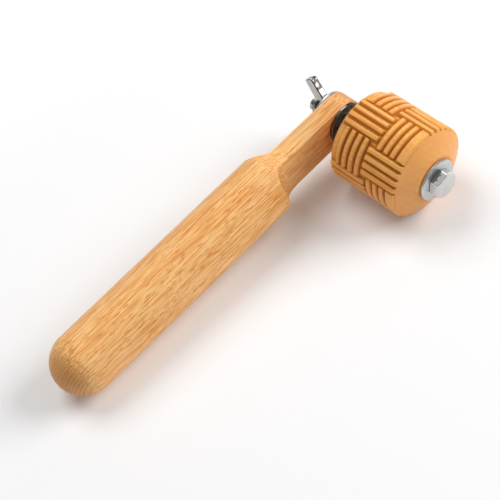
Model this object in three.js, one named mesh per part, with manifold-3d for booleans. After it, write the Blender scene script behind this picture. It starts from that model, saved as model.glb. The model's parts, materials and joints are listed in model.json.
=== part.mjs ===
// Clay texture wheel. A turned wooden handle ends in a flat tongue, and a bolt through the tongue
// carries a wooden roller carved with a basket weave, which turns freely beside the handle.
// Millimetres, +Z up. The bolt lies along X with its head towards +X, and the handle runs towards
// -Y, tilted so that the roller and the handle's round end both touch the table.
import * as THREE from 'three';
import { mergeVertices } from 'three/addons/utils/BufferGeometryUtils.js';
import Module from 'manifold-3d';

// Handle, measured from the bolt's axis along its own length
const HANDLE_RADIUS = 16;
const HANDLE_LENGTH = 205;
const HANDLE_END_DEPTH = 16;
const TONGUE_THICKNESS = 10.2;
const TONGUE_HEIGHT = 22.8;
const SIDE_SCOOP_START = 41;
const SIDE_SCOOP_RADIUS = 11;
const TOP_SCOOP_START = 36;
const TOP_SCOOP_RADIUS = 26;

// Roller
const ROLLER_RADIUS = 24.5;
const ROLLER_LENGTH = 52.4;
const ROLLER_SEAT_RADIUS = 12.4;
const ROLLER_CONE_DEPTH = 6.35;
const ROLLER_EDGE_BEVEL = 1.1;

// Basket weave on the roller: blocks of parallel strips, along and across in turn
const WEAVE_DEPTH = 1.75;
const WEAVE_BLOCKS_AROUND = 8;
const WEAVE_STRIPS = 4;
const WEAVE_COLUMN_SPACING = 20.4;
const WEAVE_COLUMN_OFFSET = 0.4;
const WEAVE_PHASE_DEG = 100.8;
const STRIP_TOP_WIDTH = 2.3;
const STRIP_BASE_WIDTH = 3.5;
const STRIP_EDGE_ROUND = 0.35;
const STRIP_END_SLOPE = 0.5;
const CROSS_STRIP_PITCH = 4.15;
const CROSS_STRIP_HALF_ANGLE_DEG = 24.4;
const LONG_STRIP_PITCH_DEG = 9.9;
const LONG_STRIP_INNER_REACH = 11.3;
const RIM_STRIP_WIDTH = 1.9;

// Fasteners for a 5/16 inch bolt
const BOLT_DIAMETER = 7.94;
const BOLT_LENGTH = 82.55;
const BOLT_END_CHAMFER = 0.9;
const HEX_ACROSS_FLATS = 12.7;
const HEAD_HEIGHT = 5.3;
const HEX_CHAMFER_DEG = 30;
const NUT_THICKNESS = 4.76;
const WASHER_DIAMETER = 22.2;
const WASHER_BORE = 9.5;
const WASHER_THICKNESS = 1.65;

// Wing nut, with heights measured from the face that meets the washer
const WING_HUB_HEIGHT = 6;
const WING_HUB_BASE_DIAMETER = 15;
const WING_HUB_TOP_DIAMETER = 10.4;
const WING_SPREAD = 33.8;
const WING_HEIGHT = 13.3;
const WING_THICKNESS = 3.9;
const WING_FOOT_RADIUS = 7.35;
const WING_FOOT_HEIGHT = 0.3;
const WING_ROOT_HIGH = 5.65;
const WING_LOW_FLARE_DEG = 43.6;
const WING_HIGH_FLARE_DEG = 38.2;
const WING_TIP_ROUND = 1.2;
const WING_CREST = 0.65;
const WING_LEAN_DEG = 8;

// Angle of the bolt head's first corner about the bolt
const HEAD_CORNER_DEG = 18;
const NUT_CORNER_DEG = 40;

// Clearances
const BOLT_CLEARANCE = 0.3;
const ROLLER_END_PLAY = 0.5;
const HEAD_WASHER_PLAY = 0.1;

// Facets
const ROUND_FACETS = 48;
const HANDLE_FACETS = 64;
const ROLLER_FACETS = 56;
const BORE_FACETS = 32;
const END_STEPS = 9;
const ARC_STEPS = 8;
const CROSS_STRIP_STEPS = 8;

// Overlap between shapes that are joined, and reach of a cutter past what it cuts
const JOIN_DEPTH = 0.7;
const CUT_MARGIN = 1;

const rad = THREE.MathUtils.degToRad;
const boreRadius = BOLT_DIAMETER / 2 + BOLT_CLEARANCE;
const tongueHalf = TONGUE_THICKNESS / 2;

// Places along the bolt, from the handle's axis towards the bolt's head
const innerWasherX = tongueHalf;
const nutX = innerWasherX + WASHER_THICKNESS;
const rollerX = nutX + NUT_THICKNESS + ROLLER_END_PLAY / 2;
const headWasherX = rollerX + ROLLER_LENGTH + ROLLER_END_PLAY / 2;
const headX = headWasherX + WASHER_THICKNESS + HEAD_WASHER_PLAY;
const outerWasherX = -tongueHalf - WASHER_THICKNESS;

const wood = {
  handle: woodMaterial(0xe2ae72),
  roller: woodMaterial(0xdb9a4e),
};
const zinc = new THREE.MeshStandardMaterial({ color: 0xc4c6c8, roughness: 0.3, metalness: 1 });
const castZinc = new THREE.MeshStandardMaterial({ color: 0xb9b5ae, roughness: 0.42, metalness: 1 });

const wasm = await Module();
wasm.setup();

function woodMaterial(color) {
  return new THREE.MeshStandardMaterial({ color, roughness: 0.6, metalness: 0 });
}

// Solid of a closed geometry, for cutting and joining
function solid(geometry) {
  const bare = geometry.clone();
  bare.deleteAttribute('normal');
  bare.deleteAttribute('uv');
  const merged = mergeVertices(bare);
  const corners = merged.index.array;
  const kept = [];
  for (let i = 0; i < corners.length; i += 3) {
    const [a, b, c] = [corners[i], corners[i + 1], corners[i + 2]];
    if (a !== b && b !== c && c !== a) kept.push(a, b, c);
  }
  return new wasm.Manifold(new wasm.Mesh({
    numProp: 3,
    vertProperties: new Float32Array(merged.attributes.position.array),
    triVerts: new Uint32Array(kept),
  }));
}

// Geometry of a finished solid
function shapeOf(manifold) {
  const mesh = manifold.getMesh();
  const geometry = new THREE.BufferGeometry();
  geometry.setAttribute('position', new THREE.BufferAttribute(mesh.vertProperties, mesh.numProp));
  geometry.setIndex(new THREE.BufferAttribute(mesh.triVerts, 1));
  geometry.computeVertexNormals();
  return geometry;
}

function piece(name, manifold, material) {
  const mesh = new THREE.Mesh(shapeOf(manifold), material);
  mesh.name = name;
  return mesh;
}

// Body turned about the X axis from a closed profile of [x, radius] points
function turned(profile, facets) {
  const points = profile.map(([x, radius]) => new THREE.Vector2(radius, x));
  const geometry = new THREE.LatheGeometry(points, facets);
  return solid(geometry.rotateZ(-Math.PI / 2));
}

// Round bar along X, for bores
function bar(radius, from, to, facets = BORE_FACETS) {
  return turned([[from, 0], [from, radius], [to, radius], [to, 0]], facets);
}

// Outline of a tongue that flares out of a pair of concave scoops to the full handle, with x along
// the handle towards the tip
function scoopedOutline(halfWidth, start, radius, roundTip) {
  const tip = TONGUE_HEIGHT / 2 + CUT_MARGIN;
  const end = -HANDLE_LENGTH - CUT_MARGIN;
  const full = halfWidth + radius + HANDLE_RADIUS;
  const outline = new THREE.Shape();
  if (roundTip) {
    outline.moveTo(0, -halfWidth);
    outline.absarc(0, 0, halfWidth, -Math.PI / 2, Math.PI / 2, false);
  } else {
    outline.moveTo(tip, -halfWidth);
    outline.lineTo(tip, halfWidth);
  }
  outline.lineTo(-start, halfWidth);
  outline.absarc(-start, halfWidth + radius, radius, -Math.PI / 2, -Math.PI, true);
  outline.lineTo(-start - radius, full);
  outline.lineTo(end, full);
  outline.lineTo(end, -full);
  outline.lineTo(-start - radius, -full);
  outline.lineTo(-start - radius, -halfWidth - radius);
  outline.absarc(-start, -halfWidth - radius, radius, Math.PI, Math.PI / 2, true);
  return outline;
}

function slab(outline) {
  const depth = 4 * HANDLE_RADIUS;
  const geometry = new THREE.ExtrudeGeometry(outline, {
    depth,
    bevelEnabled: false,
    curveSegments: 2 * ARC_STEPS,
  });
  return geometry.translate(0, 0, -depth / 2);
}

// Handle in its own frame: X across, Y towards the tip, Z up, with the bolt's axis at the origin
function handleSolid() {
  const tip = TONGUE_HEIGHT / 2;
  const end = tip - HANDLE_LENGTH;
  const blank = [[end, 0]];
  for (let i = 1; i <= END_STEPS; i += 1) {
    const turn = (i / END_STEPS) * (Math.PI / 2);
    const y = end + HANDLE_END_DEPTH * (1 - Math.cos(turn));
    blank.push([y, HANDLE_RADIUS * Math.sin(turn)]);
  }
  blank.push([tip + CUT_MARGIN, HANDLE_RADIUS]);
  blank.push([tip + CUT_MARGIN, 0]);
  const points = blank.map(([y, radius]) => new THREE.Vector2(radius, y));
  const rod = solid(new THREE.LatheGeometry(points, HANDLE_FACETS));

  // The first slab is seen from above, the second from the side
  const plan = slab(scoopedOutline(tongueHalf, SIDE_SCOOP_START, SIDE_SCOOP_RADIUS, false));
  plan.rotateZ(Math.PI / 2);
  const side = slab(scoopedOutline(tip, TOP_SCOOP_START, TOP_SCOOP_RADIUS, true));
  side.rotateZ(Math.PI / 2).rotateY(Math.PI / 2);

  const bore = bar(boreRadius, -tongueHalf - CUT_MARGIN, tongueHalf + CUT_MARGIN);
  return rod.intersect(solid(plan)).intersect(solid(side)).subtract(bore);
}

// Roller's turned outline, as [x, radius] points: a seat and a shallow cone at each end
function rollerOutline(bodyRadius) {
  const coneRun = ROLLER_CONE_DEPTH / (ROLLER_RADIUS - ROLLER_SEAT_RADIUS);
  const shoulder = (bodyRadius - ROLLER_SEAT_RADIUS) * coneRun;
  return [
    [0, 0],
    [0, ROLLER_SEAT_RADIUS],
    [shoulder, bodyRadius],
    [ROLLER_LENGTH - shoulder, bodyRadius],
    [ROLLER_LENGTH, ROLLER_SEAT_RADIUS],
    [ROLLER_LENGTH, 0],
  ];
}

// Space inside the two cones and their bevelled edges, which trims the strips' outer ends
function rollerEnvelope() {
  const coneRun = ROLLER_CONE_DEPTH / (ROLLER_RADIUS - ROLLER_SEAT_RADIUS);
  const low = ROLLER_RADIUS - ROLLER_EDGE_BEVEL;
  const lowX = (low - ROLLER_SEAT_RADIUS) * coneRun;
  const bevelRun = (ROLLER_CONE_DEPTH + ROLLER_EDGE_BEVEL - lowX) / ROLLER_EDGE_BEVEL;
  const high = ROLLER_RADIUS + CUT_MARGIN;
  const highX = lowX + (high - low) * bevelRun;
  return turned([
    [0, 0],
    [0, ROLLER_SEAT_RADIUS],
    [lowX, low],
    [highX, high],
    [ROLLER_LENGTH - highX, high],
    [ROLLER_LENGTH - lowX, low],
    [ROLLER_LENGTH, ROLLER_SEAT_RADIUS],
    [ROLLER_LENGTH, 0],
  ], ROLLER_FACETS);
}

// Section of a raised strip, as [across, height] points, with its foot sunk into the core
function stripSection(from = -STRIP_BASE_WIDTH / 2, to = STRIP_BASE_WIDTH / 2) {
  const slope = (STRIP_BASE_WIDTH - STRIP_TOP_WIDTH) / 2;
  const shoulder = WEAVE_DEPTH - STRIP_EDGE_ROUND;
  const shoulderInset = slope - STRIP_EDGE_ROUND;
  return [
    [from, -JOIN_DEPTH],
    [from + shoulderInset, shoulder],
    [from + slope, WEAVE_DEPTH],
    [to - slope, WEAVE_DEPTH],
    [to - shoulderInset, shoulder],
    [to, -JOIN_DEPTH],
  ];
}

// Closed body swept through stations along a strip; place(along, across, height) gives a point
function swept(section, stations, slope, place) {
  const positions = [];
  const last = stations.length - 1;
  const count = section.length;
  stations.forEach((station, i) => {
    const lean = i === 0 ? slope : i === last ? -slope : 0;
    section.forEach(([across, height]) => {
      const risen = Math.max(height, 0) / WEAVE_DEPTH;
      positions.push(...place(station + lean * risen, across, height));
    });
  });
  const triangles = [];
  for (let i = 0; i < last; i += 1) {
    for (let j = 0; j < count; j += 1) {
      const a = i * count + j;
      const b = i * count + ((j + 1) % count);
      triangles.push(a, b + count, b, a, a + count, b + count);
    }
  }
  for (let j = 1; j < count - 1; j += 1) {
    const end = last * count;
    triangles.push(0, j, j + 1, end, end + j + 1, end + j);
  }
  const geometry = new THREE.BufferGeometry();
  geometry.setAttribute('position', new THREE.Float32BufferAttribute(positions, 3));
  geometry.setIndex(triangles);
  return solid(geometry);
}

const coreRadius = ROLLER_RADIUS - WEAVE_DEPTH;

function onRoller(x, angle, height) {
  const radius = coreRadius + height;
  return [x, radius * Math.cos(angle), radius * Math.sin(angle)];
}

// Strip that runs along the roller
function longStrip(from, to, angle) {
  const place = (x, across, height) => onRoller(x, angle - across / coreRadius, height);
  return swept(stripSection(), [from, to], STRIP_END_SLOPE, place);
}

// Strip that runs round the roller, across its length
function crossStrip(section, centreX, angle) {
  const half = rad(CROSS_STRIP_HALF_ANGLE_DEG);
  const stations = [];
  for (let i = 0; i <= CROSS_STRIP_STEPS; i += 1) {
    stations.push(half * ((2 * i) / CROSS_STRIP_STEPS - 1));
  }
  const place = (along, across, height) => onRoller(centreX + across, angle + along, height);
  return swept(section, stations, STRIP_END_SLOPE / coreRadius, place);
}

// Places of a block's strips about its middle
function stripOffsets(pitch) {
  return Array.from({ length: WEAVE_STRIPS }, (_, i) => (i - (WEAVE_STRIPS - 1) / 2) * pitch);
}

// Block whose strips run along the roller, out over the cone at its own end
function longBlock(centreX, angle, towardsHead) {
  const beyond = ROLLER_LENGTH / 2;
  const from = towardsHead ? centreX - LONG_STRIP_INNER_REACH : centreX - beyond;
  const to = towardsHead ? centreX + beyond : centreX + LONG_STRIP_INNER_REACH;
  return stripOffsets(rad(LONG_STRIP_PITCH_DEG)).map((offset) => longStrip(from, to, angle + offset));
}

// Block whose strips run round the roller, with a rim strip between them and the cone
function crossBlock(centreX, angle, towardsHead) {
  const strips = stripOffsets(CROSS_STRIP_PITCH).map((offset) => (
    crossStrip(stripSection(), centreX + offset, angle)
  ));
  const slope = (STRIP_BASE_WIDTH - STRIP_TOP_WIDTH) / 2;
  const inner = ROLLER_CONE_DEPTH + RIM_STRIP_WIDTH + slope;
  const rim = towardsHead
    ? stripSection(ROLLER_LENGTH - inner, ROLLER_LENGTH)
    : stripSection(0, inner);
  strips.push(crossStrip(rim, 0, angle));
  return strips;
}

// Roller along X from its rear seat, with the first weave block centred on +Y
function rollerSolid() {
  const strips = [];
  for (let block = 0; block < WEAVE_BLOCKS_AROUND; block += 1) {
    const angle = (block / WEAVE_BLOCKS_AROUND) * 2 * Math.PI;
    [-1, 1].forEach((end) => {
      const towardsHead = end > 0;
      const middle = ROLLER_LENGTH / 2 + WEAVE_COLUMN_OFFSET;
      const centreX = middle + (end * WEAVE_COLUMN_SPACING) / 2;
      const runsAlong = (block % 2 === 1) === towardsHead;
      const make = runsAlong ? longBlock : crossBlock;
      strips.push(...make(centreX, angle, towardsHead));
    });
  }
  const weave = wasm.Manifold.union(strips).intersect(rollerEnvelope());
  const core = turned(rollerOutline(coreRadius), ROLLER_FACETS);
  const bore = bar(boreRadius, -CUT_MARGIN, ROLLER_LENGTH + CUT_MARGIN);
  return core.add(weave).subtract(bore);
}

// Hexagonal body along X, chamfered by a cone at the ends that are asked for
function hexBody(height, chamferBase, chamferTop, cornerDeg) {
  const cornerRadius = HEX_ACROSS_FLATS / 2 / Math.cos(Math.PI / 6);
  const prism = new THREE.CylinderGeometry(cornerRadius, cornerRadius, height, 6);
  prism.translate(0, height / 2, 0).rotateZ(-Math.PI / 2).rotateX(rad(cornerDeg));
  const faceRadius = HEX_ACROSS_FLATS / 2;
  const run = (cornerRadius + CUT_MARGIN - faceRadius) * Math.tan(rad(HEX_CHAMFER_DEG));
  const outer = cornerRadius + CUT_MARGIN;
  const cone = [[0, 0]];
  cone.push([0, chamferBase ? faceRadius : outer]);
  if (chamferBase) cone.push([run, outer]);
  if (chamferTop) cone.push([height - run, outer]);
  cone.push([height, chamferTop ? faceRadius : outer]);
  cone.push([height, 0]);
  return solid(prism).intersect(turned(cone, ROUND_FACETS));
}

// Bolt along X with the head's bearing face at the origin
function boltSolid() {
  const radius = BOLT_DIAMETER / 2;
  const shank = turned([
    [-BOLT_LENGTH, 0],
    [-BOLT_LENGTH, radius - BOLT_END_CHAMFER],
    [-BOLT_LENGTH + BOLT_END_CHAMFER, radius],
    [JOIN_DEPTH, radius],
    [JOIN_DEPTH, 0],
  ], BORE_FACETS);
  return hexBody(HEAD_HEIGHT, false, true, HEAD_CORNER_DEG).add(shank);
}

function nutSolid() {
  const body = hexBody(NUT_THICKNESS, true, true, NUT_CORNER_DEG);
  return body.subtract(bar(boreRadius, -CUT_MARGIN, NUT_THICKNESS + CUT_MARGIN));
}

function washerSolid() {
  const inner = WASHER_BORE / 2;
  const outer = WASHER_DIAMETER / 2;
  return turned([
    [0, inner],
    [0, outer],
    [WASHER_THICKNESS, outer],
    [WASHER_THICKNESS, inner],
    [0, inner],
  ], ROUND_FACETS);
}

// Outline of one wing, with x out from the bolt's axis and y away from the washer. Its tip runs
// from the end of the lower edge up to a short flat crest.
function wingOutline() {
  const root = boreRadius - JOIN_DEPTH;
  const foot = new THREE.Vector2(WING_FOOT_RADIUS, WING_FOOT_HEIGHT);
  const reach = WING_SPREAD / 2;
  const rise = (reach - foot.x) * Math.tan(rad(WING_LOW_FLARE_DEG));
  const tip = new THREE.Vector2(reach, foot.y + rise);
  const run = (WING_HEIGHT - WING_ROOT_HIGH) / Math.tan(rad(WING_HIGH_FLARE_DEG));
  const crest = new THREE.Vector2(root + run + WING_CREST, WING_HEIGHT);
  const before = foot.clone().sub(tip).setLength(WING_TIP_ROUND).add(tip);
  const after = crest.clone().sub(tip).setLength(WING_TIP_ROUND).add(tip);
  const outline = new THREE.Shape();
  outline.moveTo(root, foot.y);
  outline.lineTo(foot.x, foot.y);
  outline.lineTo(before.x, before.y);
  outline.quadraticCurveTo(tip.x, tip.y, after.x, after.y);
  outline.lineTo(crest.x, crest.y);
  outline.lineTo(crest.x - WING_CREST, crest.y);
  outline.lineTo(root, WING_ROOT_HIGH);
  return outline;
}

// Wing nut along X from its seat, with its wings up and down
function wingNutSolid() {
  const hub = turned([
    [0, 0],
    [0, WING_HUB_BASE_DIAMETER / 2],
    [WING_HUB_HEIGHT, WING_HUB_TOP_DIAMETER / 2],
    [WING_HUB_HEIGHT, 0],
  ], ROUND_FACETS);
  const wing = new THREE.ExtrudeGeometry(wingOutline(), {
    depth: WING_THICKNESS,
    bevelEnabled: false,
    curveSegments: ARC_STEPS,
  });
  wing.translate(0, 0, -WING_THICKNESS / 2).rotateY(-Math.PI / 2).rotateZ(-Math.PI / 2);
  const opposite = wing.clone().rotateX(Math.PI);
  const bore = bar(boreRadius, -CUT_MARGIN, WING_HUB_HEIGHT + CUT_MARGIN);
  return hub.add(solid(wing)).add(solid(opposite)).subtract(bore);
}

function washer(name, x) {
  const mesh = piece(name, washerSolid(), zinc);
  mesh.position.x = x;
  return mesh;
}

function handle() {
  const mesh = piece('handle', handleSolid(), wood.handle);
  const toEnd = HANDLE_LENGTH - TONGUE_HEIGHT / 2 - HANDLE_END_DEPTH;
  mesh.rotation.x = Math.asin((ROLLER_RADIUS - HANDLE_RADIUS) / toEnd);
  return mesh;
}

function roller() {
  const mesh = piece('texture_roller', rollerSolid(), wood.roller);
  mesh.position.x = rollerX;
  mesh.rotation.x = rad(WEAVE_PHASE_DEG);
  return mesh;
}

function bolt() {
  const mesh = piece('hex_bolt', boltSolid(), zinc);
  mesh.position.x = headX;
  return mesh;
}

function nut() {
  const mesh = piece('hex_nut', nutSolid(), zinc);
  mesh.position.x = nutX;
  return mesh;
}

function wingNut() {
  const mesh = piece('wing_nut', wingNutSolid(), castZinc);
  mesh.position.x = outerWasherX;
  mesh.rotation.set(-rad(WING_LEAN_DEG), Math.PI, 0);
  return mesh;
}

const tool = new THREE.Group();
tool.add(handle());
tool.add(roller());
tool.add(bolt());
tool.add(washer('head_washer', headWasherX));
tool.add(nut());
tool.add(washer('tongue_washer_inner', innerWasherX));
tool.add(washer('tongue_washer_outer', outerWasherX));
tool.add(wingNut());

// The origin is the middle of the tool's footprint, on the table
const extent = new THREE.Box3().setFromObject(tool, true);
const middle = extent.getCenter(new THREE.Vector3());
tool.position.set(-middle.x, -middle.y, -extent.min.z);

export default tool;
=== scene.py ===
"""Clay texture wheel: a turned wooden handle, a roller carved with a basket weave, and the bolt,
washers, nut and wing nut that hold them together. Each piece is built in place, in metres,
round the bolt's axis, which lies along X with the bolt's head towards +X."""

import json
import math

import bpy
import numpy as np
from bpy.props import FloatProperty, FloatVectorProperty, IntProperty, PointerProperty
from mathutils import Matrix, Vector


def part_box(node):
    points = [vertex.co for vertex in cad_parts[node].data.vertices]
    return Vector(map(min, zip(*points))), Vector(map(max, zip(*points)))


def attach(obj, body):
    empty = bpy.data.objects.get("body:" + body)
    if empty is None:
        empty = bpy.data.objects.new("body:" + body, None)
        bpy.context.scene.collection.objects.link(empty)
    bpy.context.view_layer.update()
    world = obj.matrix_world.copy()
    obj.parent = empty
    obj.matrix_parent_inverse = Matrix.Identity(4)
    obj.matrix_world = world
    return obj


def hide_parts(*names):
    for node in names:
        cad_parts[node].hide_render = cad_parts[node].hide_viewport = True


bl_info = {
    "name": "Clay texture wheel",
    "version": (1, 0, 0),
    "blender": (4, 5, 0),
    "location": "3D View > Sidebar > Clay Wheel",
    "description": "Builds the finished pieces of a clay texture wheel over its frame",
    "category": "Add Mesh",
}

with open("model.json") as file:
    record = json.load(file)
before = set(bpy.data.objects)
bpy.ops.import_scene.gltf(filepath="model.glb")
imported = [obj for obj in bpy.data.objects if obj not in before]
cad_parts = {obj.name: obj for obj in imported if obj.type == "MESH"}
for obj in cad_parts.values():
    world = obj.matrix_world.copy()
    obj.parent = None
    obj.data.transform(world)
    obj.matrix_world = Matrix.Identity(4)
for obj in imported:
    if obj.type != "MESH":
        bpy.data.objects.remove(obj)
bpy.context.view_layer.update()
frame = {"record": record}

MM = 0.001

# Name of the mark that the weave leaves on the roller's mesh where wood is cut away: how dark
# the groove there is painted, for oil and as painted shade
GROOVE = "groove"

# How many points go round holes, hexagons, the thread and the handle, and how many rows a
# thread's pitch and a chamfer have
HOLE_STEPS = 96
HEXAGON_STEPS = 192
THREAD_STEPS = 40
HANDLE_STEPS = 144
PITCH_ROWS = 14
CHAMFER_ROWS = 16

# Keeps divisions off zero
TINY = 1e-6


# Places that the frame gives


def joint_place(name):
    joints = {joint["name"]: joint for joint in frame["record"]["behaviour"]["joints"]}
    return Vector(joints[name]["pos_m"])


def node_start(node):
    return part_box(node)[0].x


def node_end(node):
    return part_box(node)[1].x


BOLT_Y = joint_place("roller_spin").y
BOLT_Z = joint_place("roller_spin").z
TONGUE_MIDDLE = (node_end("tongue_washer_outer") + node_start("tongue_washer_inner")) / 2


# Sizes and colours that a user may change


def number(name, value, description, **limits):
    return FloatProperty(name=name, description=description, default=value, **limits)


def length(name, mm, description):
    limits = {"precision": 5, "min": 0.0, "subtype": "DISTANCE", "unit": "LENGTH"}
    return number(name, mm * MM, description, **limits)


def angle(name, degrees, description):
    return number(name, math.radians(degrees), description, subtype="ANGLE", unit="ROTATION")


def factor(name, value, description, top=1.0):
    return number(name, value, description, min=0.0, max=top, subtype="FACTOR")


def power(name, watts, description):
    return number(name, watts, description, min=0.0, unit="POWER")


def colour(name, value, description):
    limits = {"size": 3, "min": 0.0, "max": 1.0, "subtype": "COLOR"}
    return FloatVectorProperty(name=name, description=description, default=value, **limits)


class ClayWheelHandle(bpy.types.PropertyGroup):
    radius: length("Radius", 16.0, "Radius of the round grip")
    length: length("Length", 205.0, "Whole length, from the tongue's tip to the round end")
    tongue_thickness: length("Tongue Thickness", 10.2, "Thickness of the flat tongue")
    tongue_height: length("Tongue Height", 22.8, "Height of the tongue and width of its tip")
    side_scoop_start: length("Side Scoop Start", 41.0, "From the bolt to the side scoops")
    side_scoop_radius: length("Side Scoop Radius", 11.0, "Radius of the side scoops")
    top_scoop_start: length("Top Scoop Start", 36.0, "From the bolt to the upper scoop")
    top_scoop_radius: length("Top Scoop Radius", 26.0, "Radius of the upper and lower scoops")
    softening: length("Edge Softening", 1.1, "How far sanding has softened the arrises")
    bore: length("Bore", 4.27, "Radius of the hole for the bolt")


class ClayWheelRoller(bpy.types.PropertyGroup):
    radius: length("Radius", 24.49, "Radius over the strips' tops")
    length: length("Length", 52.4, "Length between the two seats")
    seat_radius: length("Seat Radius", 12.4, "Radius of the flat seat at each end")
    cone_depth: length("Cone Depth", 6.35, "Depth of the shallow cone at each end")
    arris_round: length("Arris Rounding", 0.45, "Rounding between the cones and the body")
    bore: length("Bore", 4.27, "Radius of the bore")
    depth: length("Weave Depth", 1.75, "Depth of the grooves")
    top_width: length("Strip Top Width", 2.3, "Width of a strip's top")
    foot_width: length("Strip Foot Width", 3.5, "Width of a strip's foot")
    cross_pitch: length("Cross Pitch", 4.15, "Spacing of the strips that run round the roller")
    cross_half_angle: angle("Cross Half Angle", 24.4, "Half the sweep of those strips")
    long_pitch: angle("Long Pitch", 9.9, "Spacing of the strips that run along the roller")
    long_reach: length("Long Reach", 11.3, "Reach of those strips past their block's middle")
    column_spacing: length("Column Spacing", 20.4, "Spacing of the two columns of blocks")
    column_offset: length("Column Offset", 0.4, "Shift of the columns towards the bolt's head")
    rim_width: length("Rim Width", 1.9, "Width of the rim beside the strips that run round")
    phase: angle("Phase", 100.8, "Turn of the first block about the bolt")
    hand_wander: length("Hand Wander", 0.05, "How far the carved surface wanders")
    end_drop: length("End Drop", 1.0, "How much deeper the grooves are cut where they run out")
    rear_shave: length("Rear Shave", 1.3, "How far the wood slopes down to the rear arris")
    rear_groove: length("Rear Groove Depth", 0.5, "Depth of the groove beside the rear rim")
    line_inset: length("Line Inset", 0.65, "From the front arris to the line cut in the cone")
    line_depth: length("Line Depth", 0.4, "Depth of that line")


class ClayWheelFasteners(bpy.types.PropertyGroup):
    bolt_radius: length("Bolt Radius", 3.96, "Radius over the thread")
    bolt_length: length("Bolt Length", 82.55, "Length under the head")
    thread_pitch: length("Thread Pitch", 1.4111, "Distance between the turns of the thread")
    thread_depth: length("Thread Depth", 0.82, "Depth of the thread")
    hexagon: length("Hexagon", 12.7, "Width across the flats of the head and the nut")
    head_height: length("Head Height", 5.3, "Height of the bolt's head")
    nut_height: length("Nut Height", 4.76, "Height of the nut")
    washer_radius: length("Washer Radius", 11.1, "Outer radius of the washers")
    washer_bore: length("Washer Bore", 4.75, "Bore radius of the washers")
    washer_height: length("Washer Height", 1.65, "Thickness of the washers")
    nut_bore: length("Nut Bore", 4.27, "Bore radius of the nuts")
    head_turn: angle("Head Turn", 18.0, "Turn of the head's first corner")
    nut_turn: angle("Nut Turn", 40.0, "Turn of the nut's first corner")


class ClayWheelWingNut(bpy.types.PropertyGroup):
    hub_height: length("Hub Height", 6.0, "Height of the hub")
    hub_base: length("Hub Base", 7.5, "Radius of the hub at the washer")
    hub_top: length("Hub Top", 5.2, "Radius of the hub at its face")
    spread: length("Wing Spread", 33.8, "Distance between the wings' tips")
    height: length("Wing Height", 13.3, "Height of the wings")
    thickness: length("Wing Thickness", 3.9, "Thickness of the wings")
    foot_radius: length("Foot Radius", 7.35, "Where the wings' lower edges leave the hub")
    foot_height: length("Foot Height", 0.3, "Height of the wings' feet over the washer")
    root_high: length("Root High", 5.65, "Height of the wings' upper edges at the bore")
    low_flare: angle("Low Flare", 43.6, "Rise of the wings' lower edges")
    high_flare: angle("High Flare", 38.2, "Rise of the wings' upper edges")
    tip_round: length("Tip Rounding", 1.2, "Rounding of the wings' tips")
    crest: length("Crest", 0.65, "Length of the flat crest at the wings' tips")
    lean: angle("Lean", 8.0, "Turn of the wings from upright")
    cast_rounding: length("Cast Rounding", 0.85, "Rounding of the cast edges")


class ClayWheelFinishes(bpy.types.PropertyGroup):
    handle_pale: colour("Handle Pale", (0.97, 0.575, 0.24), "Pale wood of the handle")
    handle_deep: colour("Handle Deep", (0.79, 0.325, 0.08), "Deeper rings of the handle")
    handle_fleck: colour("Handle Fleck", (0.64, 0.185, 0.016), "Short flecks in the handle")
    roller_pale: colour("Roller Pale", (0.98, 0.51, 0.13), "Pale oiled wood of the roller")
    roller_deep: colour("Roller Deep", (0.82, 0.30, 0.05), "Deeper rings of the roller")
    roller_fleck: colour("Roller Fleck", (0.55, 0.18, 0.03), "Short flecks in the roller")
    soaked: colour("Soaked Cone", (0.89, 0.365, 0.1), "Oiled end grain of the roller's cones")
    # The grooves' colour stands both for oil gathered there and for painted shade in them
    groove: colour("Groove", (0.47, 0.135, 0.002), "Oil gathered in the grooves")
    zinc: colour("Bright Zinc", (0.66, 0.655, 0.645), "Zinc plate on the bolt and washers")
    cast_zinc: colour("Cast Zinc", (0.60, 0.575, 0.55), "Plate on the cast wing nut")
    # Dark colour painted on the wing nut's arrises as their dark reflection, and on a few patches of
    # its edges
    arris_reflection_and_marks: colour("Arris Reflection And Marks", (0.05, 0.047, 0.043), "Dark arrises and marks of the wing nut")


class ClayWheelStage(bpy.types.PropertyGroup):
    floor: colour("Floor", (0.93, 0.93, 0.935), "Paint of the floor")
    floor_lift: factor("Floor Lift", 0.05, "How much the floor brightens towards white")
    sky: factor("Room Light", 0.29, "Level of the even light in the room", 2.0)
    key: power("Front Softbox", 28.5, "Power of the soft lamp on the side of the bolt's head")
    fill: power("Back Softbox", 17.5, "Power of the soft lamp on the side of the wing nut")
    around: IntProperty(
        name="Washer Steps",
        description="How many faces go once round a washer",
        default=160,
        min=24,
        max=512,
    )


GROUPS = {
    "clay_wheel_handle": ClayWheelHandle,
    "clay_wheel_roller": ClayWheelRoller,
    "clay_wheel_fasteners": ClayWheelFasteners,
    "clay_wheel_wing_nut": ClayWheelWingNut,
    "clay_wheel_finishes": ClayWheelFinishes,
    "clay_wheel_stage": ClayWheelStage,
}


# Building meshes


def face_outwards(mesh):
    """Flips the faces of a mesh that encloses its volume the wrong way round."""
    mesh.calc_loop_triangles()
    corners = np.empty(len(mesh.loop_triangles) * 3, np.int32)
    mesh.loop_triangles.foreach_get("vertices", corners)
    points = np.empty(len(mesh.vertices) * 3)
    mesh.vertices.foreach_get("co", points)
    a, b, c = points.reshape(-1, 3)[corners.reshape(-1, 3)].transpose(1, 0, 2)
    if np.einsum("ij,ij->i", a, np.cross(b, c)).sum() < 0:
        mesh.flip_normals()


def new_object(name, points, faces):
    """Object of a mesh whose faces look outwards."""
    mesh = bpy.data.meshes.new(name)
    mesh.from_pydata(points, [], faces)
    mesh.validate()
    face_outwards(mesh)
    obj = bpy.data.objects.new(name, mesh)
    bpy.context.scene.collection.objects.link(obj)
    return obj


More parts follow.
